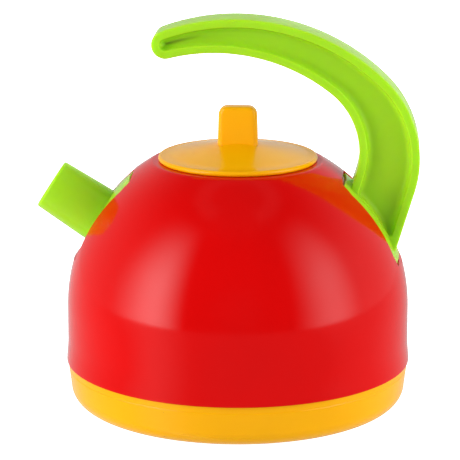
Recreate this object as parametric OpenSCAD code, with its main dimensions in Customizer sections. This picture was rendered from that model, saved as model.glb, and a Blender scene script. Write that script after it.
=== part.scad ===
// Toy teapot: a domed shell on a dish-shaped base, with a lift-off lid,
// and a handle and a spout whose pads clip into two slots in the shell.
// The pot stands on z = 0 with its axis on Z, the spout towards -X and the handle towards +X.

/* [Shell] */
// Outer radius of the dome
dome_r = 65; // [60:0.5:70]
// Wall of the dome
shell_wall = 1.9; // [1.6:0.1:2.4]
// Height of the skirt below the dome
skirt_h = 20.4; // [16:0.2:26]
// How far the lower edge flares out
skirt_flare = 0.6; // [0.3:0.1:1.2]
// Width of the flat seat that shows around the lid
seat_margin = 2.4; // [1.5:0.1:3.5]

/* [Slots] */
// Angle of a slot's middle above the level of the dome's centre
slot_tilt = 34.2; // [31:0.1:37]
// Length of a slot down the dome
slot_l = 38; // [35:0.2:40]
// Radius of a slot's corners
slot_corner = 2.5; // [1.5:0.1:3.5]
// How far the ledge at each slot end reaches under the pad
ledge_reach = 4; // [2.5:0.1:5]
// Width of a ledge
ledge_w = 22; // [10:0.5:24]
// Thickness of a ledge
ledge_t = 1.6; // [1.2:0.1:2.2]

/* [Pads] */
// How far a pad lies below the dome's surface
pad_recess = 0.5; // [0.3:0.05:0.7]
// Width of pad that shows on each side of the spout
pad_show = 1.6; // [1.2:0.1:2.6]
// Gap between a pad and the long sides of its slot
pad_side_gap = 0.25; // [0.15:0.05:0.4]
// Gap between a pad and the ends of its slot
pad_end_gap = 1; // [0.6:0.05:1.4]
// Length of the clip on each long side of a pad
clip_l = 16; // [12:0.5:18]
// Thickness of a clip
clip_t = 1.5; // [1.2:0.1:1.8]
// How far a clip hooks out behind the wall
clip_hook = 0.8; // [0.6:0.05:1]

/* [Handle] */
// Room for fingers between the knob and the grip's crown
finger_gap = 21; // [18:0.1:28]
// Thickness of the grip at its crown
grip_t = 12.8; // [11.5:0.1:14]
// Width of the handle from side to side
handle_w = 15.5; // [13:0.5:17]
// Radius of the grip's outer edge
grip_out_r = 80.9; // [78:0.1:84]
// Radius of the grip's inner edge
grip_in_r = 69.6; // [67:0.1:73]
// Place of the outer edge's crown along the pot
grip_out_x = -0.5; // [-2:0.1:1]
// Place of the inner edge's crown along the pot
grip_in_x = -7.9; // [-9:0.1:-6]
// Radius of the bend's outer edge
bend_out_r = 41.8; // [39:0.1:45]
// Radius of the bend's inner edge
bend_in_r = 28.7; // [26:0.1:31]
// Width of the leg
leg_t = 23.1; // [21:0.1:25]
// Distance of the leg's inner edge from the middle of its pad
leg_in = 13.4; // [12:0.1:14.5]
// Angle at which the round tip begins
tip_at = 110.3; // [109:0.1:112]
// Lean of the leg from upright
leg_lean = 16.6; // [14:0.1:19]
// Width of the rim around the pockets
rim_t = 3.2; // [2.6:0.1:3.6]
// Thickness of the web between the pockets
web_t = 3.5; // [2.5:0.1:5]
// Height of the rim that the pockets leave along the pad
foot_rim = 1.6; // [1:0.1:2.4]

/* [Spout] */
// How much lower than its pad's middle the spout points
spout_droop = 1.3; // [0:0.1:3]
// Length of the spout beyond the dome
spout_l = 19.8; // [14:0.1:26]
// Diameter of the spout at its tip
spout_tip_d = 19.8; // [18:0.1:21]
// How much thicker the spout is where it leaves the dome
spout_draft = 1.3; // [0.4:0.1:2]
// Wall of the spout at its tip
spout_wall = 1.8; // [1.4:0.1:2.4]
// Radius of the round on the lip
lip_round = 0.6; // [0.3:0.05:0.8]

/* [Lid] */
// Radius of the lid's edge
lid_r = 30.1; // [29.4:0.1:32]
// Thickness of the lid's edge
lid_edge_h = 2; // [1.7:0.1:2.6]
// Height of the lid from its seat to the top of the knob
lid_h = 20.9; // [18:0.1:23]
// Slope of the crown
lid_slope = 11; // [9:0.5:15]
// Wall of the crown, the skirt and the knob
lid_wall = 1.8; // [1.4:0.1:2.2]
// How far the lid's edge reaches out over the mouth
lid_rest = 3.1; // [2.4:0.1:4]
// Depth of the skirt in the mouth
lid_skirt_h = 5; // [3:0.25:7]
// Gap between the skirt and the mouth
lid_gap = 0.4; // [0.3:0.05:0.8]
// Width of the knob at its foot
knob_w = 15.3; // [13:0.1:18]
// How much narrower the knob is at its top
knob_draw = 0.9; // [0.2:0.1:1.6]
// Depth of the knob at its foot
knob_d = 7; // [6.8:0.1:12]
// Radius of the knob's rounded edges
knob_round = 2.6; // [1.4:0.1:2.8]

/* [Base] */
// Height of the base below the shell
base_h = 16.7; // [14:0.1:20]
// How far the base's side lies in from the dome's radius at the step
base_in = 0.5; // [0.2:0.05:0.8]
// How far the base's side draws in from the step down to the bottom round
base_draft = 0.8; // [0.4:0.1:1.4]
// Radius of the round at the bottom
base_round = 6.9; // [5:0.1:7.5]
// Thickness of the floor
base_wall = 1.9; // [1.5:0.1:2.4]
// Height of the band above the step
step_h = 2.9; // [1.5:0.1:4]
// Depth of the step
step_in = 0.3; // [0.2:0.05:0.6]
// Height of the ring that stands up inside the shell
ring_h = 7; // [5.5:0.1:9]
// Thickness of that ring
ring_t = 1.6; // [1.3:0.1:2]
// Gap between the ring and the shell
ring_gap = 0.25; // [0.15:0.05:0.35]
// How far the bead on the ring stands out
bead_out = 0.5; // [0.4:0.05:0.6]

/* [Hidden] */
$fn = 96;
// How far a cut runs past what it cuts
overrun = 1;
// Gap between a pad or a hook and what it bears on
seat_gap = 0.1;
// Steps in each arc of an outline
arc_steps = 12;
// Facets of the round edges of the knob
knob_facets = 32;
// How far the extended leg of the handle runs into the dome, against the dome's radius
leg_run_share = 0.7;
// How fast the flare of the skirt dies out with height
flare_power = 8;
// Height of the bead on the ring and its place up the ring
bead_h = 1.8;
bead_up_share = 0.62;
// Length that a ledge has under the wall beyond the slot
ledge_root = 4;
// Flat part of a hook and the length of its sloping lead-in
hook_flat = 0.6;
hook_lead = 2.2;

dome_z = base_h + skirt_h;
inner_r = dome_r - shell_wall;
mid_wall_r = dome_r - shell_wall / 2;
ledge_r = inner_r - seat_gap;
seat_r = lid_r + seat_margin;
seat_z = dome_z + sqrt(dome_r * dome_r - seat_r * seat_r);
mouth_r = lid_r - lid_rest;

spout_root_d = spout_tip_d + spout_draft;
spout_bore_d = spout_tip_d - 2 * spout_wall;
spout_tilt = slot_tilt - spout_droop;

pad_l = slot_l - 2 * pad_end_gap;
pad_w = spout_root_d + 2 * pad_show;
slot_w = pad_w + 2 * pad_side_gap;
pad_out_r = dome_r - pad_recess;
pad_in_r = ledge_r + seat_gap;
pad_mid_r = (pad_out_r + pad_in_r) / 2;
hook_y = pad_w / 2 + clip_hook;
hook_z = sqrt(inner_r * inner_r - hook_y * hook_y - clip_l * clip_l / 4) - seat_gap;

knob_top_z = seat_z + lid_h;
handle_top = knob_top_z + finger_gap + grip_t;
grip_out_c = [grip_out_x, handle_top - grip_out_r];
grip_in_c = [grip_in_x, knob_top_z + finger_gap - grip_in_r];

// The bends run from the grip's edges into the edges of the leg, which stands on the pad's middle
leg_normal = [cos(leg_lean), -sin(leg_lean)];
leg_in_at = leg_normal * polar([0, dome_z], dome_r, slot_tilt) - leg_in;
leg_out_at = leg_in_at + leg_t;
bend_out_at = bend_at(leg_out_at, grip_out_c, grip_out_r, bend_out_r);
bend_in_at = bend_at(leg_in_at, grip_in_c, grip_in_r, bend_in_r);
bend_out_c = polar(grip_out_c, grip_out_r - bend_out_r, bend_out_at);
bend_in_c = polar(grip_in_c, grip_in_r - bend_in_r, bend_in_at);
leg_run = leg_run_share * dome_r;

// The round tip touches both edges of the grip
tip_dir = [cos(tip_at), sin(tip_at)];
grip_shift = grip_out_c - grip_in_c;
tip_gain = grip_shift * grip_shift + 2 * grip_out_r * (grip_shift * tip_dir);
tip_reach = grip_out_r + grip_in_r + grip_shift * tip_dir;
tip_r = (tip_gain + grip_out_r * grip_out_r - grip_in_r * grip_in_r) / (2 * tip_reach);
tip_c = polar(grip_out_c, grip_out_r - tip_r, tip_at);
tip_end = 180 + atan2(tip_c[1] - grip_in_c[1], tip_c[0] - grip_in_c[0]);

skirt_out_r = mouth_r - lid_gap;
skirt_in_r = skirt_out_r - lid_wall;
edge_c = [lid_r - lid_edge_h / 2, seat_z + lid_edge_h / 2];
crown_edge = polar(edge_c, lid_edge_h / 2, 90 - lid_slope);
crown_z = crown_edge[1] + crown_edge[0] * tan(lid_slope);
crown_under_z = crown_z - lid_wall / cos(lid_slope);
knob_top_w = knob_w - knob_draw;
knob_corner_r = norm([knob_w, knob_d]) / 2;
knob_foot_z = crown_z - knob_corner_r * tan(lid_slope) - lid_wall / 2;

step_z = base_h - step_h;
side_r = dome_r - base_in;
base_r = side_r - base_draft;
ring_r = inner_r - ring_gap;
bead_z = base_h + bead_up_share * ring_h;

function polar(c, r, a) = [c[0] + r * cos(a), c[1] + r * sin(a)];
function arc(c, r, a0, a1) = [for (i = [0:arc_steps]) polar(c, r, a0 + (a1 - a0) * i / arc_steps)];

// Points of a rectangle with rounded corners, centred on the origin
function round_box(l, w, r) = concat(
    arc([l / 2 - r, w / 2 - r], r, 0, 90),
    arc([r - l / 2, w / 2 - r], r, 90, 180),
    arc([r - l / 2, r - w / 2], r, 180, 270),
    arc([l / 2 - r, r - w / 2], r, 270, 360)
);

// Radius of the skirt at a share of its height
function skirt_r(share) = dome_r + skirt_flare * pow(1 - share, flare_power);

// Angle at which an edge of the grip turns into a bend that ends on an edge of the leg
function bend_at(leg_at, grip_c, grip_r, bend_r) =
    acos((leg_at - bend_r - leg_normal * grip_c) / (grip_r - bend_r)) - leg_lean;

// Lower end of one edge of the handle's leg, well inside the dome
function leg_end(c, r) = polar(c, r, -leg_lean) - leg_run * [sin(leg_lean), cos(leg_lean)];

// Side outline of the handle, drawn in by an inset
function handle_outline(inset) = concat(
    [leg_end(bend_out_c, bend_out_r - inset)],
    arc(bend_out_c, bend_out_r - inset, -leg_lean, bend_out_at),
    arc(grip_out_c, grip_out_r - inset, bend_out_at, tip_at),
    arc(tip_c, tip_r - inset, tip_at, tip_end),
    arc(grip_in_c, grip_in_r + inset, tip_end - 180, bend_in_at),
    arc(bend_in_c, bend_in_r + inset, bend_in_at, -leg_lean),
    [leg_end(bend_in_c, bend_in_r + inset)]
);

// Puts a child on a side of the dome: its Z points out of the dome and its X down the slope
module on_side(side, tilt) {
    mirror([side < 0 ? 1 : 0, 0, 0])
        translate([0, 0, dome_z])
            rotate([0, 90 - tilt, 0])
                children();
}

module at_slot(side) {
    on_side(side, slot_tilt)
        children();
}

// Stands a flat shape up in the plane of the spout and the handle
module side_slab(thickness) {
    rotate([90, 0, 0])
        linear_extrude(thickness, center = true)
            children();
}

// Triangle across the ring, which the groove in the shell repeats
module bead_outline(reach) {
    polygon([
        [ring_r - overrun, bead_z - bead_h / 2 - overrun],
        [ring_r + reach, bead_z],
        [ring_r - overrun, bead_z + bead_h / 2 + overrun]
    ]);
}

module shell_outline() {
    translate([0, dome_z])
        intersection() {
            circle(dome_r);
            square([dome_r, seat_z - dome_z]);
        }
    polygon(concat(
        [[0, dome_z], [0, base_h]],
        [for (i = [0:arc_steps]) [skirt_r(i / arc_steps), base_h + skirt_h * i / arc_steps]]
    ));
}

module shell_inside() {
    translate([0, dome_z])
        intersection() {
            circle(inner_r);
            square([dome_r, seat_z - shell_wall - dome_z]);
        }
    translate([0, base_h - overrun])
        square([inner_r, skirt_h + overrun]);
    bead_outline(bead_out + seat_gap);
}

module ledge_blocks() {
    for (end = [-1, 1])
        translate([end * (slot_l + ledge_root - ledge_reach) / 2, 0, dome_r / 2])
            cube([ledge_reach + ledge_root, ledge_w, dome_r], center = true);
}

module ledges() {
    intersection() {
        difference() {
            sphere(mid_wall_r);
            sphere(ledge_r - ledge_t);
        }
        ledge_blocks();
    }
}

module slot_cut() {
    difference() {
        linear_extrude(dome_r + overrun)
            polygon(round_box(slot_l, slot_w, slot_corner));
        intersection() {
            sphere(ledge_r);
            ledge_blocks();
        }
    }
}

module pad_plate() {
    intersection() {
        difference() {
            sphere(pad_out_r);
            sphere(pad_in_r);
        }
        linear_extrude(dome_r)
            polygon(round_box(pad_l, pad_w, slot_corner - pad_side_gap));
    }
}

module pad_clips() {
    intersection() {
        sphere(pad_mid_r);
        for (turn = [0, 180])
            rotate([0, 0, turn])
                rotate([90, 0, 90])
                    linear_extrude(clip_l, center = true)
                        clip_outline();
    }
}

module clip_outline() {
    polygon([
        [pad_w / 2 - clip_t, dome_r],
        [pad_w / 2 - clip_t, hook_z - hook_flat - hook_lead],
        [pad_w / 2, hook_z - hook_flat - hook_lead],
        [hook_y, hook_z - hook_flat],
        [hook_y, hook_z],
        [pad_w / 2, hook_z],
        [pad_w / 2, dome_r]
    ]);
}

module pad() {
    pad_plate();
    pad_clips();
}

module pocket_outline() {
    difference() {
        polygon(handle_outline(rim_t));
        translate([0, dome_z])
            circle(dome_r + foot_rim);
    }
}

module knob_edges() {
    for (x = [-1, 1], y = [-1, 1]) {
        translate([x * (knob_w / 2 - knob_round), y * (knob_d / 2 - knob_round), knob_foot_z])
            cylinder(h = lid_wall / 2, r = knob_round, $fn = knob_facets);
        translate([
            x * (knob_top_w / 2 - knob_round),
            y * ((knob_d - knob_draw) / 2 - knob_round),
            knob_top_z - knob_round
        ])
            sphere(knob_round, $fn = knob_facets);
    }
}

module lid_outline() {
    polygon(concat(
        [[0, crown_under_z], [skirt_in_r, crown_under_z - skirt_in_r * tan(lid_slope)]],
        [[skirt_in_r, seat_z - lid_skirt_h], [skirt_out_r, seat_z - lid_skirt_h], [skirt_out_r, seat_z]],
        arc(edge_c, lid_edge_h / 2, -90, 90 - lid_slope),
        [[0, crown_z]]
    ));
}

module base_outline() {
    polygon(concat(
        [[0, base_wall], [0, 0]],
        arc([base_r - base_round, base_round], base_round, -90, 0),
        [[side_r, step_z], [side_r - step_in, step_z], [side_r - step_in, base_h]],
        [[ring_r, base_h], [ring_r, base_h + ring_h], [ring_r - ring_t, base_h + ring_h]],
        arc([ring_r - ring_t - base_round, base_wall + base_round], base_round, 0, -90)
    ));
}

module spout_outline() {
    polygon(concat(
        [[0, dome_r / 2], [spout_root_d / 2, dome_r / 2], [spout_root_d / 2, dome_r]],
        arc([spout_tip_d / 2 - lip_round, dome_r + spout_l - lip_round], lip_round, 0, 90),
        [[0, dome_r + spout_l]]
    ));
}

module shell() {
    color([0.86, 0.05, 0.04])
        difference() {
            union() {
                rotate_extrude()
                    difference() {
                        shell_outline();
                        shell_inside();
                    }
                for (side = [-1, 1])
                    at_slot(side)
                        ledges();
            }
            for (side = [-1, 1])
                at_slot(side)
                    slot_cut();
            translate([0, 0, dome_z])
                cylinder(h = dome_r, r = mouth_r);
        }
}

module base() {
    color([1, 0.73, 0.1])
        rotate_extrude() {
            base_outline();
            intersection() {
                bead_outline(bead_out);
                translate([ring_r - ring_t / 2, base_h])
                    square([ring_t, ring_h]);
            }
        }
}

module lid() {
    color([0.98, 0.69, 0.05])
        difference() {
            union() {
                rotate_extrude()
                    lid_outline();
                hull()
                    knob_edges();
            }
            translate([lid_wall - knob_top_w / 2, lid_wall - (knob_d - knob_draw) / 2, seat_z])
                cube([knob_top_w - 2 * lid_wall, knob_d - knob_draw - 2 * lid_wall, lid_h - lid_wall]);
        }
}

module handle() {
    color([0.59, 0.84, 0.12]) {
        difference() {
            side_slab(handle_w)
                polygon(handle_outline(0));
            for (side = [-1, 1])
                translate([0, side * (web_t + handle_w) / 2, 0])
                    side_slab(handle_w)
                        pocket_outline();
            translate([0, 0, dome_z])
                sphere(pad_mid_r);
        }
        at_slot(1)
            pad();
    }
}

module spout() {
    color([0.59, 0.84, 0.12])
        difference() {
            union() {
                on_side(-1, spout_tilt)
                    difference() {
                        rotate_extrude()
                            spout_outline();
                        sphere(pad_mid_r);
                    }
                at_slot(-1)
                    pad();
            }
            on_side(-1, spout_tilt)
                cylinder(h = dome_r + spout_l + overrun, d = spout_bore_d);
        }
}

shell();
base();
lid();
handle();
spout();
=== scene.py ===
"""Toy teapot: its five mouldings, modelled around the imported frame.

Their plastics, the floor, the light and the camera are made here too.
"""

from math import acos, asin, atan2, cos, hypot, pi, radians, sin, sqrt, tan

import bmesh
import bpy
from mathutils import Matrix, Vector


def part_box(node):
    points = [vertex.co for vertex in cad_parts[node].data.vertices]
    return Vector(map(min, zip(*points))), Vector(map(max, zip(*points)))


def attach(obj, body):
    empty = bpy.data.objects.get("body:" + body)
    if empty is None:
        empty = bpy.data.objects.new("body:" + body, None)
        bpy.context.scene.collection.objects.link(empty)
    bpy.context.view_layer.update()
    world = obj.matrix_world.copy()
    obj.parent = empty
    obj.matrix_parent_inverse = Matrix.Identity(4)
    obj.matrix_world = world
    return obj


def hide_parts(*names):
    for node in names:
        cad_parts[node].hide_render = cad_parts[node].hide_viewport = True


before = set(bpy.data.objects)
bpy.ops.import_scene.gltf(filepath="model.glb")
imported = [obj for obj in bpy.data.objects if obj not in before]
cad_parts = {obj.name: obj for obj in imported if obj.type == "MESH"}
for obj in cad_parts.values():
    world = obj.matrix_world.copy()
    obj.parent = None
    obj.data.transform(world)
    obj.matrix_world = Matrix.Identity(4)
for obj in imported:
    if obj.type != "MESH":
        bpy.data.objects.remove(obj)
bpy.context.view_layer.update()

bl_info = {
    "name": "Toy teapot",
    "version": (1, 0, 0),
    "blender": (4, 5, 0),
    "location": "View3D > Sidebar > Teapot",
    "description": "Models a domed toy teapot in five plastic mouldings",
    "category": "Object",
}

MM = 0.001
# Steps around a turned piece, and around the spout's tube
TURN_STEPS = 192
TUBE_STEPS = 96
# Points closer than this, in millimetres, are one point
MERGE_GAP = 0.002
# Edges that turn by less than this, in degrees, are shaded smooth
SMOOTH_ANGLE = 32
# A solid has at least this many faces
FEWEST_FACES = 6
HANDLE_SIDE, SPOUT_SIDE = 1, -1
SIDES = (HANDLE_SIDE, SPOUT_SIDE)
# The soft lights face this place, in metres
POT_MIDDLE = (0, 0, 0.06)
# The photo shows the skirt's lower edge a little lower than the solid has it
SKIRT_DROP = 0.4
BASE_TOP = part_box("shell")[0].z / MM - SKIRT_DROP
SEAT_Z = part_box("shell")[1].z / MM
KNOB_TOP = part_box("lid")[1].z / MM
GRIP_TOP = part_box("handle")[1].z / MM
PAD_WIDTH = 2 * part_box("handle")[1].y / MM


def length(name, description, millimetres):
    """A size that a user may change, stored in metres."""
    return bpy.props.FloatProperty(
        name=name, description=description, default=millimetres * MM,
        min=0, precision=4, unit="LENGTH", subtype="DISTANCE")


def angle(name, description, degrees):
    """An angle that a user may change."""
    return bpy.props.FloatProperty(
        name=name, description=description, default=radians(degrees),
        unit="ROTATION", subtype="ANGLE")


def colour(name, description, red, green, blue):
    """A plastic's colour that a user may change."""
    return bpy.props.FloatVectorProperty(
        name=name, description=description, default=(red, green, blue),
        size=3, min=0, max=1, subtype="COLOR")


def share(name, description, value):
    """A plain number from none to full."""
    return bpy.props.FloatProperty(
        name=name, description=description, default=value,
        min=0, max=1, subtype="FACTOR")


def level(name, description, value):
    """A brightness that a user may change."""
    return bpy.props.FloatProperty(
        name=name, description=description, default=value, min=0)


class TeapotShellSizes(bpy.types.PropertyGroup):
    dome_radius: length("Dome radius", "Outside radius of the dome", 65)
    dome_height: length("Dome height", "Height of the dome's centre", 37.1)
    wall: length("Wall", "Thickness of the shell", 1.9)
    flare: length("Flare", "How far the skirt's lower edge stands out", 0.62)
    lip: length("Lip", "Height of the flare", 8.2)
    mouth_radius: length("Mouth radius", "Radius of the opening under the lid", 27)
    edge_round: length("Edge round", "Rounding of the moulded edges", 0.4)
    slot_tilt: angle("Slot tilt", "Height of the two slots on the dome", 34.2)
    slot_length: length("Slot length", "Length of each slot up the dome", 38)
    slot_width: length("Slot width", "Width of each slot", 24.8)
    slot_corner: length("Slot corner", "Corner radius of each slot", 2.5)
    ledge_reach: length("Ledge reach", "How far a ledge runs under a pad", 4)
    ledge_width: length("Ledge width", "Width of a ledge", 22)
    ledge_thick: length("Ledge thickness", "Thickness of a ledge", 1.6)
    stop_depth: length("Stop depth", "How deep the slots' end stops lie below the pads", 1)


class TeapotBaseSizes(bpy.types.PropertyGroup):
    top_radius: length("Upper radius", "Radius below the set-back band", 64.8)
    low_radius: length("Lower radius", "Radius above the bottom round", 64.0)
    bottom_round: length("Bottom round", "Rounding of the lower edge", 6.9)
    wall: length("Wall", "Thickness of the dish", 1.9)
    step_height: length("Step height", "Height of the set-back band", 2.5)
    step_depth: length("Step depth", "How far the band is set back", 0.13)
    ring_radius: length("Ring radius", "Outside of the ring in the shell", 62.85)
    ring_height: length("Ring height", "How far the ring stands up", 7)
    ring_wall: length("Ring wall", "Thickness of the ring", 1.6)
    bead: length("Bead", "How far the ring's bead stands out", 0.2)


class TeapotLidSizes(bpy.types.PropertyGroup):
    radius: length("Radius", "Outside radius of the lid", 30.1)
    edge_height: length("Edge height", "Thickness of the lid's edge", 2)
    slope: angle("Slope", "Slope of the lid's crown", 11)
    rim_turn: angle("Rim turn", "How far the rim's round goes over before it meets the crown", 22)
    wall: length("Wall", "Thickness of the crown and skirt", 1.8)
    skirt_radius: length("Skirt radius", "Outside of the skirt in the mouth", 26.6)
    skirt_height: length("Skirt height", "Depth of the skirt", 5)
    knob_width: length("Knob width", "Width of the knob at its foot", 15.3)
    knob_depth: length("Knob depth", "Depth of the knob at its foot", 7)
    knob_draw: length("Knob draw", "How much the knob narrows to its top", 0.9)
    knob_shoulder: length("Knob shoulder", "Rounding of the knob's two shoulders", 3.2)
    knob_side: length("Knob side round", "Rounding of the knob's upright edges", 2.2)
    knob_brow: length("Knob brow round", "Rounding along the knob's top", 1.3)


class TeapotHandleSizes(bpy.types.PropertyGroup):
    width: length("Width", "Width of the grip", 15.5)
    grip_radius: length("Grip radius", "Radius of the grip's top", 80.9)
    palm_radius: length("Palm radius", "Radius of the grip's underside", 69.6)
    bend_radius: length("Bend radius", "Outer radius of the rear bend", 41.8)
    crook_radius: length("Crook radius", "Inner radius of the rear bend", 28.7)
    leg_thick: length("Leg thickness", "Thickness of the leg", 23.1)
    leg_lean: angle("Leg lean", "How far the leg leans in", 16.6)
    tip_at: angle("Tip", "Where the grip's round end starts", 110.3)
    rim: length("Rim", "Thickness of the raised rim", 3.05)
    web: length("Web", "Thickness of the middle web", 8.5)
    edge_round: length("Edge round", "Rounding of the rim's outer edge", 0.7)
    inner_round: length("Inner round", "Rounding of the rim's inner edge", 0.4)
    pocket_round: length("Pocket round", "Fillet at the pocket's floor", 2.3)
    foot_round: length("Foot round", "Fillet between the pocket and the pad", 2.2)
    corner: length("Corner", "Rounding of the pocket's corners at the foot", 0.9)


class TeapotPadSizes(bpy.types.PropertyGroup):
    pad_length: length("Pad length", "Length of the pads in the slots", 36)
    width: length("Pad width", "Width of the pads", PAD_WIDTH)
    outside: length("Pad outside", "Radius of the pads' outer face", 64.5)
    thick: length("Pad thickness", "Thickness of the pads", 1.4)
    corner: length("Pad corner", "Corner radius of the pads", 2.25)
    edge_round: length("Edge round", "Rounding of the pads' edges", 0.3)
    clip_length: length("Clip length", "Length of the clips under the pads", 16)
    clip_thick: length("Clip thickness", "Thickness of the clips", 1.5)
    clip_hook: length("Clip hook", "How far a clip's hook stands out", 0.8)
    sink: length("Sink", "How deep the spout's pad lies below the handle's", 0.6)
    droop: angle("Droop", "How far the spout's pad tips in at its lower end", 1.5)


class TeapotSpoutSizes(bpy.types.PropertyGroup):
    tilt: angle("Tilt", "Tilt of the spout", 32.9)
    root_diameter: length("Root diameter", "Outside diameter at the dome", 21.1)
    tip_diameter: length("Tip diameter", "Outside diameter at the tip", 19.8)
    bore: length("Bore", "Inside diameter of the spout", 16.2)
    reach: length("Reach", "Length of the spout beyond the dome", 19.8)
    lip_round: length("Lip round", "Rounding of the lip", 0.85)


class TeapotColours(bpy.types.PropertyGroup):
    red: colour("Red", "Shell", 0.64, 0.0001, 0.0001)
    yellow: colour("Yellow", "Base and lid", 0.89, 0.41, 0.0005)
    green: colour("Green", "Handle and spout", 0.385, 0.70, 0.022)
    red_gloss: share("Red roughness", "Roughness of the shell", 0.1)
    yellow_gloss: share("Yellow roughness", "Roughness of base and lid", 0.17)
    green_gloss: share("Green roughness", "Roughness of handle and spout", 0.2)
    red_shine: share("Red shine", "Strength of the shell's reflections", 0.28)
    yellow_shine: share("Yellow shine", "Strength of the base's and lid's reflections", 0.25)
    green_shine: share("Green shine", "Strength of the handle's and spout's reflections", 0.18)


class TeapotStageSizes(bpy.types.PropertyGroup):
    distance: length("Distance", "Camera's distance along the floor", 952.02)
    height: length("Height", "Camera's height", 307.79)
    azimuth: angle("Azimuth", "Camera's turn towards the handle", 3.4)
    aim_height: length("Aim height", "Height that the camera looks at", 65.93)
    aim_side: length("Aim side", "How far left of the axis the camera looks", 2.99)
    lens: bpy.props.FloatProperty(
        name="Lens", description="Focal length of the camera",
        default=202.18, min=1, unit="CAMERA")
    floor: length("Floor", "Half the floor's side", 6000)
    left_box: level("Left soft box", "Brightness of the soft box on the left", 4.9)
    left_wall: level("Left wall", "Brightness of the room on the left", 0.38)
    right_box: level("Right soft box", "Brightness of the soft box on the right", 2.4)
    right_wall: level("Right wall", "Brightness of the room on the right", 0.55)
    back_wall: level("Back wall", "Brightness of the white backdrop behind the pot", 0.05)
    room: level("Room", "Brightness of the room in front and above", 0.12)
    table: level("Table", "Brightness of the table top", 0.15)
    top_light: level("Top light", "Power of the soft light above, in watts", 2.7)
    left_light: level("Left light", "Power of the soft light on the left, in watts", 12.5)
    right_light: level("Right light", "Power of the soft light on the right, in watts", 15.9)
    front_light: level("Front light", "Power of the soft light in front, in watts", 0.95)
    back_light: level("Back light", "Power of the soft light behind, in watts", 15)
    table_light: level("Table light", "Power of the light that the table throws up, in watts", 4.6)
    floor_glow: level("Floor glow", "Brightness of the lit floor", 1.0)


PLACES = (
    ("teapot_shell", TeapotShellSizes),
    ("teapot_base", TeapotBaseSizes),
    ("teapot_lid", TeapotLidSizes),
    ("teapot_handle", TeapotHandleSizes),
    ("teapot_pad", TeapotPadSizes),
    ("teapot_spout", TeapotSpoutSizes),
    ("teapot_colours", TeapotColours),
    ("teapot_stage", TeapotStageSizes),
)


# Modelling helpers

def polar(centre, radius, turn):
    return (centre[0] + radius * cos(turn), centre[1] + radius * sin(turn))


def arc(centre, radius, start, end, steps):
    """Points along an arc, both ends among them."""
    return [polar(centre, radius, start + (end - start) * i / steps)
            for i in range(steps + 1)]


def quarter_turn(steps):
    """Angles from none to a right angle."""
    return [pi / 2 * k / steps for k in range(steps + 1)]


def eased(k):
    """A smooth step while k goes from 0 to 1."""
    return k * k * (3 - 2 * k)


def clear_selection():
    if bpy.context.object and bpy.context.object.mode != "OBJECT":
        bpy.ops.object.mode_set(mode="OBJECT")
    bpy.ops.object.select_all(action="DESELECT")


def make_active(obj):
    clear_selection()
    obj.select_set(True)
    bpy.context.view_layer.objects.active = obj


def enter_edit(obj, mode="VERT"):
    make_active(obj)
    bpy.ops.object.mode_set(mode="EDIT")
    bpy.ops.mesh.select_mode(type=mode)
    bpy.ops.mesh.select_all(action="SELECT")


def leave_edit():
    bpy.ops.object.mode_set(mode="OBJECT")


def started(name):
    """The primitive that was just added, renamed."""
    obj = bpy.context.object
    obj.name = name
    obj.data.name = name
    return obj


def pick(obj, mode, test):
    """In edit mode: selects the vertices or faces that pass the test."""
    bpy.ops.mesh.select_mode(type=mode)
    bpy.ops.mesh.select_all(action="DESELECT")
    mesh = bmesh.from_edit_mesh(obj.data)
    mesh.normal_update()
    parts = {"VERT": mesh.verts, "FACE": mesh.faces}[mode]
    found = [part for part in parts if test(part)]
    if not found:
        raise RuntimeError(f"{obj.name}: nothing to select")
    for part in found:
        part.select_set(True)
    mesh.select_flush_mode()
    bmesh.update_edit_mesh(obj.data)


def face_outwards():
    """In edit mode: closes seams and poles and turns the faces outwards."""
    bpy.ops.mesh.select_all(action="SELECT")
    bpy.ops.mesh.remove_doubles(threshold=MERGE_GAP * MM)
    bpy.ops.mesh.normals_make_consistent(inside=False)


def turned(name, profile, closed, steps=TURN_STEPS):
    """A profile drawn out point by point, in millimetres, and spun about Z."""
    clear_selection()
    (first_r, first_z), rest = profile[0], profile[1:]
    bpy.ops.mesh.primitive_plane_add(
        size=MM, location=(first_r * MM, 0, first_z * MM))
    obj = started(name)
    bpy.ops.object.transform_apply(location=True, rotation=True, scale=True)
    enter_edit(obj)
    bpy.ops.mesh.merge(type="CENTER")
    at_r, at_z = first_r, first_z
    for next_r, next_z in rest:
        step = ((next_r - at_r) * MM, 0, (next_z - at_z) * MM)
        bpy.ops.mesh.extrude_region_move(TRANSFORM_OT_translate={"value": step})
        at_r, at_z = next_r, next_z
    if closed:
        pick(obj, "VERT", lambda v: len(v.link_edges) == 1)
        bpy.ops.mesh.edge_face_add()
    bpy.ops.mesh.select_mode(type="VERT")
    bpy.ops.mesh.select_all(action="SELECT")
    bpy.ops.mesh.spin(steps=steps, angle=2 * pi, center=(0, 0, 0), axis=(0, 0, 1))
    face_outwards()
    leave_edit()
    return obj


def drawn(name, rings):
    """A face extruded from ring to ring, each a list of points in millimetres."""
    clear_selection()
    bpy.ops.mesh.primitive_circle_add(
        vertices=len(rings[0]), radius=MM, fill_type="NGON")
    obj = started(name)
    station = obj.data.attributes.new("station", "INT", "POINT")
    station.data.foreach_set("value", range(len(rings[0])))
    enter_edit(obj, "FACE")
    for row, ring in enumerate(rings):
        if row:
            bpy.ops.mesh.extrude_region_move()
        mesh = bmesh.from_edit_mesh(obj.data)
        number = mesh.verts.layers.int["station"]
        for vertex in mesh.verts:
            if vertex.select:
                vertex.co = Vector(ring[vertex[number]]) * MM
        bmesh.update_edit_mesh(obj.data)
    face_outwards()
    leave_edit()
    obj.data.attributes.remove(obj.data.attributes["station"])
    return obj


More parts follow.
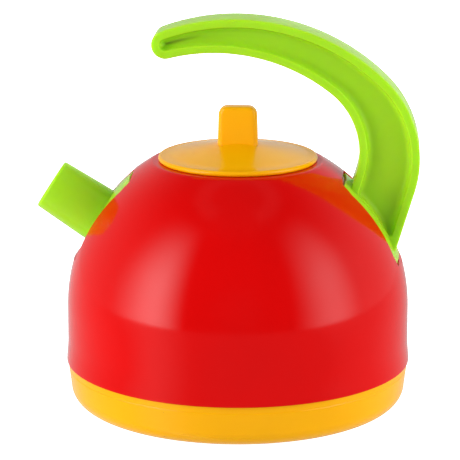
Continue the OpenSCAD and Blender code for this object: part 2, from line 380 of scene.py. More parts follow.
def rounded_outline(long_side, short_side, corner, steps=10):
    """The points of a rectangle with round corners, about the origin."""
    x, y = long_side / 2 - corner, short_side / 2 - corner
    points = []
    for turn, (cx, cy) in enumerate(((x, y), (-x, y), (-x, -y), (x, -y))):
        points += arc((cx, cy), corner, turn * pi / 2, (turn + 1) * pi / 2, steps)
    return points


def on_ball(radius, x, y):
    """Height over a point of the plane, on a ball about the origin."""
    return sqrt(radius * radius - x * x - y * y)


def set_place(obj, matrix):
    """Puts a mesh in place and leaves its object at the origin."""
    obj.matrix_world = matrix
    make_active(obj)
    bpy.ops.object.transform_apply(location=True, rotation=True, scale=True)
    return obj


def dome_frame(side, tilt):
    """Local Z out of the dome at the tilt, on the handle's or the spout's side."""
    centre = bpy.context.scene.teapot_shell.dome_height
    turn = side * (pi / 2 - tilt)
    return Matrix.Translation((0, 0, centre)) @ Matrix.Rotation(turn, 4, "Y")


def apply_modifier(obj, kind, **settings):
    make_active(obj)
    modifier = obj.modifiers.new(kind.lower(), kind)
    for key, value in settings.items():
        setattr(modifier, key, value)
    bpy.ops.object.modifier_apply(modifier=modifier.name)


def combine(obj, tool, operation):
    """Joins or cuts one solid with another, which is used up."""
    apply_modifier(obj, "BOOLEAN", operation=operation, solver="EXACT", object=tool)
    mesh = tool.data
    bpy.data.objects.remove(tool)
    bpy.data.meshes.remove(mesh)
    if len(obj.data.polygons) < FEWEST_FACES:
        raise RuntimeError(f"{obj.name}: the solids didn't combine")


def curved_plate(name, long_side, short_side, corner, outside, thick, shift=0):
    """A rounded plate on a ball about the origin, its length along local X."""
    corner_cells, long_cells, short_cells = 6, 28, 18
    clear_selection()
    across, along = short_cells + 2 * corner_cells, long_cells + 2 * corner_cells
    bpy.ops.mesh.primitive_grid_add(
        x_subdivisions=along, y_subdivisions=across, size=2 * MM)
    obj = started(name)

    def spread(unit, cells, side):
        # more rows of faces in the corners than along the sides
        total = cells + 2 * corner_cells
        row = (unit + 1) / 2 * total
        if row < corner_cells:
            return -side / 2 + corner * row / corner_cells
        if row > total - corner_cells:
            return side / 2 - corner * (total - row) / corner_cells
        return -side / 2 + corner + (side - 2 * corner) * (row - corner_cells) / cells

    for vertex in obj.data.vertices:
        x = spread(vertex.co.x / MM, long_cells, long_side)
        y = spread(vertex.co.y / MM, short_cells, short_side)
        into_x = abs(x) - (long_side / 2 - corner)
        into_y = abs(y) - (short_side / 2 - corner)
        if into_x > 0 and into_y > 0:
            pull = max(into_x, into_y) / hypot(into_x, into_y)
            x = (abs(x) - into_x * (1 - pull)) * (1 if x > 0 else -1)
            y = (abs(y) - into_y * (1 - pull)) * (1 if y > 0 else -1)
        x += shift
        vertex.co = Vector((x, y, on_ball(outside, x, y))) * MM
    enter_edit(obj)
    face_outwards()
    leave_edit()
    if obj.data.polygons[0].normal.z < 0:
        obj.data.flip_normals()
    apply_modifier(obj, "SOLIDIFY", thickness=thick * MM, offset=-1,
                   use_even_offset=True)
    return obj


def finish_piece(obj, body, node, material):
    """Smooths a finished piece and puts it in its CAD node's place."""
    enter_edit(obj)
    face_outwards()
    leave_edit()
    bpy.ops.object.shade_smooth_by_angle(angle=radians(SMOOTH_ANGLE))
    obj.data.materials.clear()
    obj.data.materials.append(material)
    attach(obj, body)
    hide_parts(node)


# Materials

class Wire:
    """One socket of a node tree; sums and products of wires add Math nodes."""

    def __init__(self, tree, socket=None):
        self.tree = tree
        self.socket = socket

    def node(self, kind, output=0, settings=None, sockets=None):
        """Adds a node: its settings first, then the values or links of its sockets."""
        made = self.tree.nodes.new(kind)
        for key, value in (settings or {}).items():
            setattr(made, key, value)
        for key, value in (sockets or {}).items():
            if isinstance(value, Wire):
                self.tree.links.new(value.socket, made.inputs[key])
            else:
                made.inputs[key].default_value = value
        return Wire(self.tree, made.outputs[output] if made.outputs else None)

    def math(self, operation, *values):
        return self.node("ShaderNodeMath", settings={"operation": operation},
                         sockets=dict(enumerate(values)))

    def __add__(self, other):
        return self.math("ADD", self, other)

    __radd__ = __add__

    def __sub__(self, other):
        return self.math("SUBTRACT", self, other)

    def __rsub__(self, other):
        return self.math("SUBTRACT", other, self)

    def __mul__(self, other):
        return self.math("MULTIPLY", self, other)

    __rmul__ = __mul__

    def __gt__(self, other):
        return self.math("GREATER_THAN", self, other)

    def __lt__(self, other):
        return self.math("LESS_THAN", self, other)

    def ease(self, low, high, start=0.0, end=1.0):
        """A smooth step from start to end while the value goes from low to high."""
        return self.node("ShaderNodeMapRange",
                         settings={"interpolation_type": "SMOOTHSTEP"},
                         sockets={"Value": self, "From Min": low, "From Max": high,
                                  "To Min": start, "To Max": end})


def plastic(name, tint, roughness, shine, glow, depth, specks):
    """Moulded plastic: cloudy colour, haze, fine scratches, dust specks and a faint ripple."""
    material = bpy.data.materials.new(name)
    material.use_nodes = True
    tree = material.node_tree
    tree.nodes.clear()
    start = Wire(tree)
    place = start.node("ShaderNodeTexCoord", output="Object")

    def noise(scale, detail=3.0, rough=0.5, distort=0.0, at=place):
        return start.node("ShaderNodeTexNoise", sockets={
            "Vector": at, "Scale": scale, "Detail": detail,
            "Roughness": rough, "Distortion": distort})

    def turned_place(turn, stretch):
        return start.node("ShaderNodeMapping", sockets={
            "Vector": place, "Rotation": turn, "Scale": stretch})

    def dust(output):
        return start.node("ShaderNodeTexVoronoi", output=output, sockets={
            "Vector": place, "Scale": 260.0, "Randomness": 1.0})

    def tone(strength):
        return tuple(min(1, c * strength) for c in tint) + (1,)

    def blend(amount, low, high):
        return start.node("ShaderNodeMix", output=2, settings={"data_type": "RGBA"},
                          sockets={0: amount, 6: low, 7: high})

    clouds = noise(22, 4)
    haze = noise(60, 5, 0.6, 0.4)
    ripple = noise(300, 2)
    hairs = noise(160, 2, 0.5, 0.3, turned_place((0.3, 0.9, 0.5), (1, 14, 14)))
    cross_hairs = noise(150, 2, 0.5, 0.3, turned_place((1.1, -0.4, 2.1), (1, 16, 16)))
    scratch = hairs.ease(0.70, 0.74) + cross_hairs.ease(0.71, 0.75)
    worn = noise(35, 2).ease(0.5, 0.68)
    scratch = scratch * worn
    chosen = start.node("ShaderNodeSeparateColor", sockets={"Color": dust("Color")})
    parts = start.node("ShaderNodeSeparateXYZ", sockets={"Vector": place})
    height_up = Wire(tree, parts.socket.node.outputs["Z"])
    # dust gathers low down, near the table
    dusty = height_up.ease(30 * MM, 14 * MM, 0.1, 1.0)
    speck = (chosen > 1 - specks * dusty) * dust("Distance").ease(0.11, 0.07)

    deep, pale, dirt = tone(0.97), tone(1.03), tone(0.25)
    body = blend(speck, blend(clouds.ease(0.3, 0.7), deep, pale), dirt)
    gloss = roughness + (haze - 0.5) * 0.07 + scratch * 0.12 + speck * 0.3
    height = clouds * 0.3 + ripple * 0.02 - scratch * 0.02 + speck * 0.1
    bump = start.node("ShaderNodeBump", sockets={
        "Strength": 0.25, "Distance": 0.2 * MM, "Height": height})
    shader = start.node("ShaderNodeBsdfPrincipled", sockets={
        "Base Color": body, "Roughness": gloss, "Normal": bump, "IOR": 1.5,
        "Specular IOR Level": shine,
        "Subsurface Weight": glow, "Subsurface Radius": tint,
        "Subsurface Scale": depth * MM})
    start.node("ShaderNodeOutputMaterial", sockets={"Surface": shader})
    return material


def made_once(name, *look, **finish):
    """A plastic shared by the pieces of one colour."""
    return bpy.data.materials.get(name) or plastic(name, *look, **finish)


def red_plastic():
    c = bpy.context.scene.teapot_colours
    return made_once("red_plastic_gloss", tuple(c.red), c.red_gloss, c.red_shine,
                     glow=0.06, depth=4, specks=0.03)


def yellow_plastic():
    c = bpy.context.scene.teapot_colours
    return made_once("yellow_plastic_satin", tuple(c.yellow), c.yellow_gloss, c.yellow_shine,
                     glow=0.12, depth=4, specks=0.12)


def green_plastic():
    c = bpy.context.scene.teapot_colours
    return made_once("green_plastic_satin", tuple(c.green), c.green_gloss, c.green_shine,
                     glow=0.6, depth=8, specks=0.03)


# Pieces

def dome_profile(s):
    """Outside of the shell from its lower edge up and over, then back along the inside."""
    dome, centre, wall = s.dome_radius / MM, s.dome_height / MM, s.wall / MM
    flare, lip, round_r = s.flare / MM, s.lip / MM, s.edge_round / MM
    lip_steps, skirt_steps, dome_steps = 8, 14, 56
    flare_power = 1.4
    # the seat's outer edge is only broken, by these shares of the rounding
    break_in_share, break_down_share = 0.25, 0.12
    edge_turns = (0, pi / 6, pi / 3, pi / 2)
    low_r, inner = dome + flare, dome - wall
    # the rounded lower edge runs into the flare before its last turn
    points = [(inner + round_r, BASE_TOP)]
    points += [(low_r - round_r + round_r * sin(t), BASE_TOP + round_r * (1 - cos(t)))
               for t in edge_turns[:-1]]
    for i in range(1, lip_steps + 1):
        at = i / lip_steps
        points.append((dome + flare * (1 - at) ** flare_power,
                       BASE_TOP + round_r + (lip - round_r) * at))
    for i in range(1, skirt_steps):
        at = i / skirt_steps
        points.append((dome, BASE_TOP + lip + (centre - BASE_TOP - lip) * at))
    top = asin((SEAT_Z - centre) / dome)
    seat_r = dome * cos(top)
    break_at = round_r / dome
    points += arc((0, centre), dome, 0, top - break_at, dome_steps)
    points += [(seat_r - break_in_share * round_r, SEAT_Z - break_down_share * round_r),
               (seat_r - round_r, SEAT_Z)]
    mouth = s.mouth_radius / MM
    points += [(mouth + round_r * (1 - sin(t)), SEAT_Z - round_r * (1 - cos(t)))
               for t in edge_turns]
    under = SEAT_Z - wall
    points += [(mouth, under)]
    inner_top = asin((under - centre) / inner)
    points += arc((0, centre), inner, inner_top, 0, dome_steps)
    points += [(inner, BASE_TOP + round_r)]
    return points


def slot_cutter(s, side):
    """A prism for one slot whose wall opens out at the dome in a small round."""
    dome, edge = s.dome_radius / MM, 0.45
    # the straight wall starts this deep, and the slope past the round ends this far above
    start_depth, rise = 6.0, 0.6
    # the prism's two ends, from the dome's surface
    end_below, end_above = 25, 8
    turns = [radians(d) for d in (0, 15, 30, 45, 60)]
    levels = [(0.0, start_depth)]
    levels += [(edge * (1 - cos(t)), edge * (1 - sin(t))) for t in turns]
    out, depth = levels[-1]
    levels.append((out + (rise + depth) * tan(turns[-1]), -rise))
    rings = []
    for out, depth in levels:
        outline = rounded_outline(s.slot_length / MM + 2 * out,
                                  s.slot_width / MM + 2 * out,
                                  s.slot_corner / MM + out)
        rings.append([(x, y, on_ball(dome - depth, x, y)) for x, y in outline])
    rings.insert(0, [(x, y, dome - end_below) for x, y, z in rings[0]])
    rings.append([(x, y, dome + end_above) for x, y, z in rings[-1]])
    return set_place(drawn("slot_cutter", rings), dome_frame(side, s.slot_tilt))


class TEAPOT_OT_shell(bpy.types.Operator):
    """Turns the red dome with its skirt, seat and mouth, and cuts its two slots"""
    bl_idname = "teapot.shell"
    bl_label = "Shell"

    def execute(self, context):
        s, pad = context.scene.teapot_shell, context.scene.teapot_pad
        shell = turned("teapot_shell", dome_profile(s), closed=True)
        for side in SIDES:
            combine(shell, slot_cutter(s, side), "DIFFERENCE")
        # ledges that carry the ends of the pads, and the stops beyond their upper ends
        ledge_corner, pad_gap = 0.6, 0.1
        stop_corner, stop_gap, stop_root, stop_overlap = 0.3, 0.12, 0.6, 0.8
        carried = (pad.outside - pad.thick) / MM
        stop_in = pad.pad_length / MM / 2 + stop_gap
        stop_out = s.slot_length / MM / 2 + stop_root
        for side in SIDES:
            for end in (1, -1):
                ledge = curved_plate(
                    "ledge", 2 * s.ledge_reach / MM, s.ledge_width / MM, ledge_corner,
                    carried - pad_gap, s.ledge_thick / MM, end * s.slot_length / MM / 2)
                set_place(ledge, pad_frame(side, pad, s.slot_tilt))
                combine(shell, ledge, "UNION")
                # the lower end, whose sign is the side's, has no stop
                if end == side:
                    continue
                stop = curved_plate(
                    "stop", stop_out - stop_in, s.slot_width / MM + stop_overlap,
                    stop_corner, (pad.outside - s.stop_depth) / MM, s.wall / MM,
                    end * (stop_in + stop_out) / 2)
                set_place(stop, pad_frame(side, pad, s.slot_tilt))
                combine(shell, stop, "UNION")
        finish_piece(shell, "pot", "shell", red_plastic())
        return {"FINISHED"}


class TEAPOT_OT_base(bpy.types.Operator):
    """Turns the yellow dish with its set-back band and the ring that holds the shell"""
    bl_idname = "teapot.base"
    bl_label = "Base"

    def execute(self, context):
        b = context.scene.teapot_base
        low_r, side_r = b.low_radius / MM, b.top_radius / MM
        bottom, wall = b.bottom_round / MM, b.wall / MM
        step_z = BASE_TOP - b.step_height / MM
        band_r = side_r - b.step_depth / MM
        # the step's height, and the rows that keep it crisp
        shoulder, hold = 0.3, 0.1
        step_shares = (0.25, 0.5, 0.75, 1)
        # the bead's place on the ring, and half its foot and half its flat
        bead_share, bead_foot, bead_flat = 0.62, 0.9, 0.2
        # the ring's lead into the shell, and the break of its inner edge
        lead_down, lead_in, inner_break = 0.5, 0.4, 0.3
        outer_steps, inner_steps = 16, 12
        ring_r, ring_top = b.ring_radius / MM, BASE_TOP + b.ring_height / MM
        ring_in = ring_r - b.ring_wall / MM
        bead_z, bead = BASE_TOP + bead_share * b.ring_height / MM, b.bead / MM
        inner_round = bottom - wall
        profile = [(0, 0)]
        profile += arc((low_r - bottom, bottom), bottom, -pi / 2, 0, outer_steps)
        profile += [(side_r, step_z - shoulder - hold), (side_r, step_z - shoulder)]
        profile += [(band_r + (side_r - band_r) * (1 - eased(k)),
                     step_z - shoulder + shoulder * k) for k in step_shares]
        profile += [(band_r, step_z + hold), (band_r, BASE_TOP), (ring_r, BASE_TOP)]
        profile += [(ring_r, bead_z - bead_foot), (ring_r + bead, bead_z - bead_flat),
                    (ring_r + bead, bead_z + bead_flat), (ring_r, bead_z + bead_foot)]
        profile += [(ring_r, ring_top - lead_down), (ring_r - lead_in, ring_top)]
        profile += [(ring_in + inner_break, ring_top), (ring_in, ring_top - inner_break)]
        profile += arc((ring_in - inner_round, wall + inner_round), inner_round,
                       0, -pi / 2, inner_steps)
        profile += [(0, wall)]
        base = turned("teapot_base", profile, closed=False)
        finish_piece(base, "pot", "base", yellow_plastic())
        return {"FINISHED"}


class TEAPOT_OT_lid(bpy.types.Operator):
    """Turns the yellow lid with its skirt and joins the block knob to its crown"""
    bl_idname = "teapot.lid"
    bl_label = "Lid"

    def execute(self, context):
        d = context.scene.teapot_lid
        edge, wall = d.edge_height / MM / 2, d.wall / MM
        rim_steps, crown_shares = 16, (0.85, 0.7, 0.55, 0.4, 0.25, 0.1)
        # inside corner under the crown, then the skirt's lower edges inside and outside
        fillet, inner_up, inner_in, lead = 0.6, 0.4, 0.3, 0.6
        # the knob's top stays this far below the solid's
        knob_short = 0.2
        rim_c = (d.radius / MM - edge, SEAT_Z + edge)
        profile = [(d.skirt_radius / MM, SEAT_Z)]
        # the rim stands a little proud of the crown
        profile += arc(rim_c, edge, -pi / 2, pi / 2 + d.rim_turn, rim_steps)
        crown_r, crown_edge_z = profile[-1]
        top = crown_edge_z + crown_r * tan(d.slope)
        profile += [(crown_r * k, top - crown_r * k * tan(d.slope))
                    for k in crown_shares]
        profile += [(0, top)]
        skirt_out, skirt_in = d.skirt_radius / MM, d.skirt_radius / MM - wall
        low = SEAT_Z - d.skirt_height / MM
        under = top - wall / cos(d.slope)
        fillet_r = skirt_in - fillet
        inside = [(0, under), (fillet_r, under - fillet_r * tan(d.slope)),
                  (skirt_in, under - skirt_in * tan(d.slope) - fillet),
                  (skirt_in, low + inner_up), (skirt_in + inner_in, low),
                  (skirt_out - lead, low), (skirt_out, low + lead)]
        lid = turned("teapot_lid", profile + inside, closed=True)
        knob_low = top - d.knob_width / MM * tan(d.slope)
        combine(lid, self.knob(d, knob_low, KNOB_TOP - knob_short), "UNION")
        finish_piece(lid, "lid", "lid", yellow_plastic())
        return {"FINISHED"}

    def knob(self, d, low, high):
        """A block drawn in to its top: wide rounds up its sides, a small one along its top."""
        shoulder, draw = d.knob_shoulder / MM, d.knob_draw / MM
        side, brow = d.knob_side / MM, d.knob_brow / MM
        side_steps, shoulder_steps, round_steps = 8, 12, 8

        def half(size, z):
            return (size / MM - draw * (z - low) / (high - low)) / 2

        # the right half of the front view: place, way out and rounding
        outline = []
        bend_z = high - shoulder
        for k in range(side_steps + 1):
            z = low + (bend_z - low) * k / side_steps
            outline.append((half(d.knob_width, z), z, 1, 0, side))
        bend_x = half(d.knob_width, bend_z) - shoulder
        for k, t in enumerate(quarter_turn(shoulder_steps)[1:], 1):
            outline.append((bend_x + shoulder * cos(t), bend_z + shoulder * sin(t),
                            cos(t), sin(t), side + (brow - side) * eased(k / shoulder_steps)))
        outline.append((bend_x / 2, high, 0, 1, brow))
        outline += [(-x, z, -out_x, out_z, r) for x, z, out_x, out_z, r in reversed(outline)]
        turns = quarter_turn(round_steps)
        rings = []
        for face, order in ((-1, turns), (1, reversed(turns))):
            for t in order:
                ring = []
                for x, z, out_x, out_z, r in outline:
                    x -= out_x * r * (1 - sin(t))
                    z -= out_z * r * (1 - sin(t))
                    depth = half(d.knob_depth, z) - r * (1 - cos(t))
                    ring.append((x, face * depth, z))
                rings.append(ring)
        return drawn("knob", rings)


def pad_frame(side, p, tilt):
    """Where a pad lies: the spout's hangs a little, its lower end sunk in the slot."""
    if side == HANDLE_SIDE:
        return dome_frame(side, tilt)
    middle = Matrix.Translation((0, 0, p.outside))
    turn = Matrix.Rotation(-p.droop, 4, "Y")
    return (dome_frame(side, tilt) @ Matrix.Translation((0, 0, -p.sink))
            @ middle @ turn @ middle.inverted())


def pad_piece(name, side, p, tilt):
    """The curved pad that fills a slot, with its clips, in place on the dome."""
    pad = curved_plate(name, p.pad_length / MM, p.width / MM, p.corner / MM,
                       p.outside / MM, p.thick / MM)
    apply_modifier(pad, "BEVEL", width=p.edge_round, segments=3,
                   limit_method="ANGLE", angle_limit=radians(50))
    for y_side in (1, -1):
        combine(pad, clip_piece(p, y_side), "UNION")
    return set_place(pad, pad_frame(side, p, tilt))


def clip_piece(p, y_side):
    """One clip: a short wall under the pad with a hook that leads in at its foot."""
    # the clip's place under the pad, its drop, and the hook's height and lead
    inset, sunk, drop, hook_height, lead = 0.35, 0.15, 5.4, 2.2, 0.5
    outer = p.width / MM / 2 - inset
    top = on_ball((p.outside - p.thick / 2) / MM, 0, outer) - sunk
    low = top - drop
    hook_top = (low + hook_height) * MM
    clear_selection()
    bpy.ops.mesh.primitive_cube_add(size=1, location=(
        0, y_side * (outer - p.clip_thick / MM / 2) * MM, (top + low) / 2 * MM))
    clip = started("clip")
    clip.scale = (p.clip_length, p.clip_thick, (top - low) * MM)
    bpy.ops.object.transform_apply(location=True, rotation=True, scale=True)
    enter_edit(clip)
    bpy.ops.mesh.bisect(plane_co=(0, 0, hook_top), plane_no=(0, 0, 1))
    pick(clip, "FACE", lambda f: f.normal.y * y_side > 0.9
         and f.calc_center_median().z < hook_top)
    bpy.ops.mesh.extrude_region_move(
        TRANSFORM_OT_translate={"value": (0, y_side * p.clip_hook, 0)})
    pick(clip, "VERT", lambda v: v.co.y * y_side > outer * MM + p.clip_hook / 2
         and v.co.z < (low + lead) * MM)
    bpy.ops.transform.translate(value=(0, -y_side * p.clip_hook, 0))
    face_outwards()
    leave_edit()
    return clip


def handle_outline(h, s, inset, foot_r, corner):
    """Side view of the handle as (x, z) points, drawn in by the inset.

    It runs round the bend, over the grip, round its end and back to the leg's foot,
    whose corners are rounded.
    """
    # the grip's thickness, how far the arcs' centres lie towards the spout, and how far
    # the leg's inner edge lies before the slot's middle
    grip_thick, grip_shift, palm_shift, leg_before = 12.8, 0.5, 7.9, 13.4
    lean, centre = h.leg_lean, (0, s.dome_height / MM)
    out_r, in_r = h.grip_radius / MM, h.palm_radius / MM
    bend_out, bend_in = h.bend_radius / MM, h.crook_radius / MM
    across = (cos(lean), -sin(lean))

    def along(point):
        return across[0] * point[0] + across[1] * point[1]

    grip_c = (-grip_shift, GRIP_TOP - out_r)
    palm_c = (-palm_shift, GRIP_TOP - grip_thick - in_r)
    leg_in = along(polar(centre, s.dome_radius / MM, s.slot_tilt)) - leg_before
    leg_out = leg_in + h.leg_thick / MM

    def bend_at(leg, grip, radius, bend):
        return acos((leg - bend - along(grip)) / (radius - bend)) - lean

    out_at = bend_at(leg_out, grip_c, out_r, bend_out)
    in_at = bend_at(leg_in, palm_c, in_r, bend_in)
    bend_out_c = polar(grip_c, out_r - bend_out, out_at)
    bend_in_c = polar(palm_c, in_r - bend_in, in_at)
    way = Vector((cos(h.tip_at), sin(h.tip_at)))
    shift = Vector(grip_c) - Vector(palm_c)
    tip_r = ((shift.length_squared + 2 * out_r * shift.dot(way) + out_r ** 2 - in_r ** 2)
             / (2 * (out_r + in_r + shift.dot(way))))
    tip_c = polar(grip_c, out_r - tip_r, h.tip_at)
    palm_at = atan2(tip_c[1] - palm_c[1], tip_c[0] - palm_c[0])

    def foot_at(leg):
        return acos((leg - along(centre)) / (foot_r + corner)) - lean

    in_foot, out_foot = foot_at(leg_in + inset + corner), foot_at(leg_out - inset - corner)

    points = arc(bend_out_c, bend_out - inset, -lean, out_at, 20)
    points += arc(grip_c, out_r - inset, out_at, h.tip_at, 40)[1:]
    points += arc(tip_c, tip_r - inset, h.tip_at, palm_at + pi, 20)[1:]
    points += arc(palm_c, in_r + inset, palm_at, in_at, 36)[1:]
    points += arc(bend_in_c, bend_in + inset, in_at, -lean, 20)[1:]
    points += arc(polar(centre, foot_r + corner, in_foot), corner,
                  pi - lean, pi + in_foot, 5)
    points += arc(centre, foot_r, in_foot, out_foot, 18)[1:-1]
    points += arc(polar(centre, foot_r + corner, out_foot), corner,
                  pi + out_foot, 2 * pi - lean, 8)
    return points


class TEAPOT_OT_handle(bpy.types.Operator):
    """Draws the green handle with its rim and pockets and joins it to its pad"""
    bl_idname = "teapot.handle"
    bl_label = "Handle"

    def execute(self, context):
        h, s = context.scene.teapot_handle, context.scene.teapot_shell
        p = context.scene.teapot_pad
        half, web, rim = h.width / MM / 2, h.web / MM / 2, h.rim / MM
        outer, inner, fillet = h.edge_round / MM, h.inner_round / MM, h.pocket_round / MM
        # how far the leg ends above the wall's inside and the pocket below the pad's face
        leg_above, pocket_below = 0.45, 0.2
        # rounding of the leg's own corners, and how much the pocket's wall leans
        sharp, draft = 0.03, 0.3
        sunk = (s.dome_radius - s.wall) / MM + leg_above
        foot = p.outside / MM - pocket_below
        turns = quarter_turn(6)
        # from the pocket's floor up its wall, over the rim and down to the middle
        steps = [(rim + draft + fillet * (1 - sin(t)), web + fillet * (1 - cos(t)),
                  foot + h.foot_round / MM * (1 - sin(t)), h.corner / MM) for t in turns]
        steps += [(rim - inner * (1 - cos(t)), half - inner * (1 - sin(t)),
                   foot, h.corner / MM) for t in turns]
        steps += [(outer * (1 - sin(t)), half - outer * (1 - cos(t)), sunk, sharp)
                  for t in turns]
        rings = []
        for side, order in ((-1, steps), (1, reversed(steps))):
            for inset, y, foot_r, corner in order:
                rings.append([(x, side * y, z)
                              for x, z in handle_outline(h, s, inset, foot_r, corner)])
        handle = drawn("teapot_handle", rings)
        combine(handle, pad_piece("handle_pad", HANDLE_SIDE, p, s.slot_tilt), "UNION")
        finish_piece(handle, "pot", "handle", green_plastic())
        return {"FINISHED"}


class TEAPOT_OT_spout(bpy.types.Operator):
    """Turns the green spout and joins it to its pad"""
    bl_idname = "teapot.spout"
    bl_label = "Spout"

    def execute(self, context):
        n, s = context.scene.teapot_spout, context.scene.teapot_shell
        p = context.scene.teapot_pad
        dome = s.dome_radius / MM
        root, tip = n.root_diameter / MM / 2, n.tip_diameter / MM / 2
        bore, lip, end = n.bore / MM / 2, n.lip_round / MM, dome + n.reach / MM
        # how far the tube runs below its pad, the bore's last straight stretch, and the
        # room of the hole around the bore and below the tube
        root_below, straight, hole_room, hole_below = 0.35, 4, 0.9, 8
        tube_shares, lip_steps = (0, 0.25, 0.5, 0.75, 0.98), 5
        foot = (p.outside - p.thick - p.sink) / MM - root_below
        profile = [(bore, foot), (root, foot)]
        profile += [(root + (tip - root) * k, dome + (end - lip - dome) * k)
                    for k in tube_shares]
        profile += arc((tip - lip, end - lip), lip, 0, pi / 2, lip_steps)
        profile += arc((bore + lip, end - lip), lip, pi / 2, pi, lip_steps)
        profile += [(bore, end - straight), (bore, dome)]
        tube = turned("spout_tube", profile, closed=True, steps=TUBE_STEPS)
        set_place(tube, dome_frame(SPOUT_SIDE, n.tilt))
        spout = pad_piece("teapot_spout", SPOUT_SIDE, p, s.slot_tilt)
        hole_r, hole_low = bore + hole_room, foot - hole_below
        hole = turned("spout_hole", [(0, hole_low), (hole_r, hole_low), (hole_r, end), (0, end)],
                      closed=False, steps=TUBE_STEPS)
        set_place(hole, dome_frame(SPOUT_SIDE, n.tilt))
        combine(spout, hole, "DIFFERENCE")
        combine(spout, tube, "UNION")
        finish_piece(spout, "pot", "spout", green_plastic())
        return {"FINISHED"}


# Stage

def soft_light(name, place, size, power, target=POT_MIDDLE):
    """An area light that faces the target and stays out of the pot's reflections."""
    data = bpy.data.lights.new(name, "AREA")
    data.shape = "DISK"
    data.size = size
    data.energy = power
    lamp = bpy.data.objects.new(name, data)
    bpy.context.scene.collection.objects.link(lamp)
    lamp.location = place
    aim = Vector(target) - Vector(place)
    lamp.rotation_euler = aim.to_track_quat("-Z", "Y").to_euler()
    lamp.visible_glossy = False
    lamp.visible_camera = False


def studio_world(t):
    """A dim room with a large soft box to the left and a smaller one to the right.

    Angles are in degrees: the turn is 0 in front and grows to the right, and the rise is 0
    on the level. The camera sees plain white behind the pot.
    """
    world = bpy.data.worlds.new("studio")
    bpy.context.scene.world = world
    world.use_nodes = True
    tree = world.node_tree
    tree.nodes.clear()
    start = Wire(tree)
    way = start.node("ShaderNodeTexCoord", output="Generated")
    parts = start.node("ShaderNodeSeparateXYZ", sockets={"Vector": way})
    split = parts.socket.node
    x, y, z = (Wire(tree, split.outputs[i]) for i in range(3))
    degrees = 180 / pi
    horizon = (-5.5, -4)
    # the table is brighter to the left and behind, by these shares
    left_share, back_share = 4, 3
    turn = start.math("ARCTAN2", x, 0 - y) * degrees
    rise = start.math("ARCSINE", z) * degrees
    aside = start.math("ABSOLUTE", turn)
    reach = turn.ease(-100, -54)
    left = reach * reach * turn.ease(-54, -31, 1, 0) * t.left_box
    left = left + turn.ease(-36, -56) * t.left_wall
    right = turn.ease(39, 71) * (t.right_wall + turn.ease(72, 96, 1, 0) * t.right_box)
    back = aside.ease(125, 165) * t.back_wall
    above = rise.ease(*horizon) * rise.ease(16, 64, 1, 0)
    band = rise.ease(64, 71) * rise.ease(73, 79, 1, 0) * aside.ease(30, 48)
    table = rise.ease(*horizon, 1, 0) * (
        t.table + left_share * t.table * (turn.ease(-80, -54) * turn.ease(-54, -24, 1, 0))
        + back_share * t.table * aside.ease(60, 170) * turn.ease(60, -60, 0.75, 1.0))
    brightness = (left + right + back) * above + t.room + band * t.room + table
    shine = start.node("ShaderNodeBackground", sockets={
        "Color": (1, 1, 1, 1), "Strength": brightness})
    plain = start.node("ShaderNodeBackground", sockets={
        "Color": (1, 1, 1, 1), "Strength": 1.0})
    seen = start.node("ShaderNodeLightPath", output="Is Camera Ray")
    mixed = start.node("ShaderNodeMixShader", sockets={0: seen, 1: shine, 2: plain})
    start.node("ShaderNodeOutputWorld", sockets={"Surface": mixed})


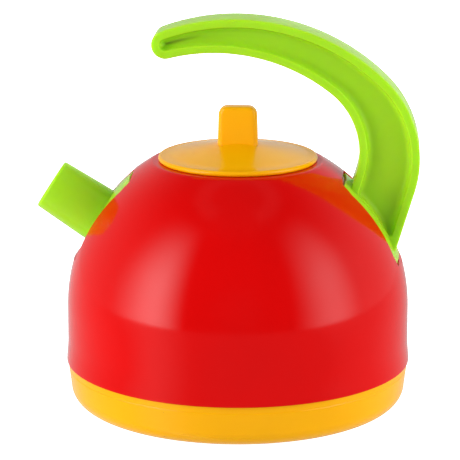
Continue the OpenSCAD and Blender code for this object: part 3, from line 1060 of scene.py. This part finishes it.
class TEAPOT_OT_stage(bpy.types.Operator):
    """Lays the pale floor and sets the soft light and the camera"""
    bl_idname = "teapot.stage"
    bl_label = "Stage"

    def execute(self, context):
        t = context.scene.teapot_stage
        # the floor lies just below the base and the table's light just above the floor
        floor_z, table_z = -0.05 * MM, 0.2 * MM
        clear_selection()
        bpy.ops.mesh.primitive_plane_add(size=2 * t.floor, location=(0, 0, floor_z))
        floor = started("floor")
        paper = bpy.data.materials.new("pale_paper")
        paper.use_nodes = True
        shader = paper.node_tree.nodes["Principled BSDF"]
        shader.inputs["Base Color"].default_value = (0.9, 0.9, 0.9, 1)
        shader.inputs["Roughness"].default_value = 0.8
        shader.inputs["Emission Color"].default_value = (1, 1, 1, 1)
        shader.inputs["Emission Strength"].default_value = t.floor_glow
        floor.data.materials.append(paper)
        floor.visible_glossy = False
        floor.visible_diffuse = False
        soft_light("top_light", (0, -0.2, 1.5), 1.2, t.top_light)
        soft_light("left_light", (-1.38, -0.5, 0.27), 1.0, t.left_light)
        soft_light("right_light", (1.4, -0.25, 0.25), 1.4, t.right_light)
        soft_light("front_light", (0.1, -1.5, 0.35), 0.8, t.front_light)
        soft_light("back_light", (0, 1.4, 0.5), 1.2, t.back_light)
        soft_light("table_light", (0, 0, table_z), 2, t.table_light, (0, 0, 1))
        studio_world(t)
        camera_data = bpy.data.cameras.new("camera")
        camera = bpy.data.objects.new("camera", camera_data)
        context.scene.collection.objects.link(camera)
        camera_data.lens = t.lens
        camera_data.sensor_width = 36
        camera_data.clip_end = 100
        ahead = Vector((sin(t.azimuth), -cos(t.azimuth), 0))
        aside = Vector((cos(t.azimuth), sin(t.azimuth), 0))
        camera.location = ahead * t.distance + Vector((0, 0, t.height))
        aim = Vector((0, 0, t.aim_height)) - aside * t.aim_side
        camera.rotation_euler = (aim - camera.location).to_track_quat("-Z", "Y").to_euler()
        context.scene.camera = camera
        context.scene.view_settings.view_transform = "Standard"
        return {"FINISHED"}


class TEAPOT_PT_panel(bpy.types.Panel):
    """Lists the steps that build the teapot"""
    bl_idname = "TEAPOT_PT_panel"
    bl_label = "Toy teapot"
    bl_space_type = "VIEW_3D"
    bl_region_type = "UI"
    bl_category = "Teapot"

    def draw(self, context):
        for step in STEPS:
            self.layout.operator(step.bl_idname)


STEPS = (TEAPOT_OT_shell, TEAPOT_OT_base, TEAPOT_OT_lid, TEAPOT_OT_handle,
         TEAPOT_OT_spout, TEAPOT_OT_stage)


def register():
    for name, group in PLACES:
        bpy.utils.register_class(group)
        setattr(bpy.types.Scene, name, bpy.props.PointerProperty(type=group))
    for step in STEPS + (TEAPOT_PT_panel,):
        bpy.utils.register_class(step)


def unregister():
    for step in reversed(STEPS + (TEAPOT_PT_panel,)):
        bpy.utils.unregister_class(step)
    for name, group in reversed(PLACES):
        delattr(bpy.types.Scene, name)
        bpy.utils.unregister_class(group)


def main():
    register()
    bpy.ops.teapot.shell()
    bpy.ops.teapot.base()
    bpy.ops.teapot.lid()
    bpy.ops.teapot.handle()
    bpy.ops.teapot.spout()
    bpy.ops.teapot.stage()


if __name__ == "__main__":
    main()
